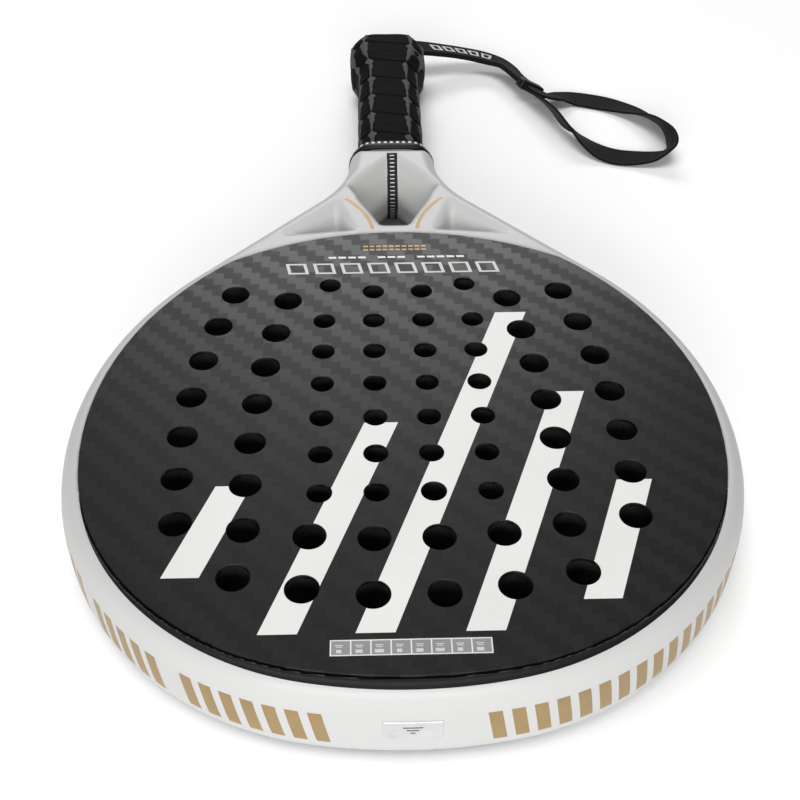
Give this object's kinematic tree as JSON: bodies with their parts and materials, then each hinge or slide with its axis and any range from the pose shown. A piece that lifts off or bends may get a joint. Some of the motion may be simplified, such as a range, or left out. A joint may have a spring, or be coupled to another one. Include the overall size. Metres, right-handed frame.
{
  "type": "padel racket",
  "caption": "Round-headed padel racket with a drilled foam core between carbon skins, a hollow white frame, an open throat, a taped handle and a wrist strap with a sliding keeper.",
  "frame": {"origin": "middle of the racket's length and width, on the plane of its rear face, with the wrist strap left out", "axes": "+Z out of the front face, +Y along the handle towards the butt, X across the head"},
  "size_m": [0.2883, 0.4819, 0.038],
  "materials": {
    "frame_paint": "white lacquer over a moulded carbon and glass laminate",
    "eva_foam": "closed-cell foam, cut and drilled",
    "carbon_skin": "coarse twill carbon laminate with a satin clear coat",
    "gold_foil": "printed gold line",
    "damper_rubber": "soft moulded strip",
    "badge_metal": "brushed metal badge",
    "label_film": "printed film",
    "bare_laminate": "bare moulded laminate",
    "handle_foam": "rigid filling foam",
    "cap_plastic": "moulded plastic",
    "base_grip": "cushioned synthetic grip",
    "overgrip": "thin tacky wrap with a fine grain",
    "finishing_tape": "self-adhesive cloth tape",
    "collar_rubber": "moulded rubber ring",
    "steel": "plain steel",
    "webbing": "woven webbing",
    "keeper_plastic": "moulded plastic"
  },
  "bodies": {
    "racket": {"frame_tube": "frame_paint", "fork_crotch": "frame_paint", "throat_bridge": "frame_paint", "foam_core": "eva_foam", "front_face": "carbon_skin", "rear_face": "carbon_skin", "rib_stripes": "gold_foil", "damper_strip": "damper_rubber", "tip_badge": "badge_metal", "spec_label": "label_film", "handle_shell": "bare_laminate", "handle_foam": "handle_foam", "butt_cap": "cap_plastic", "base_grip": "base_grip", "overgrip": "overgrip", "finishing_tape": "finishing_tape", "collar_ring": "collar_rubber", "grip_staples": "steel", "strap_pin": "steel", "strap_stem": "webbing", "strap_loop": "webbing"},
    "keeper": {"strap_keeper": "keeper_plastic"}
  },
  "joints": [
    {"name": "keeper_slide", "type": "slide", "parent": "racket", "child": "keeper", "axis": [-0.4299, 0.9029, 0], "range_m": [0, 0.015]}
  ]
}
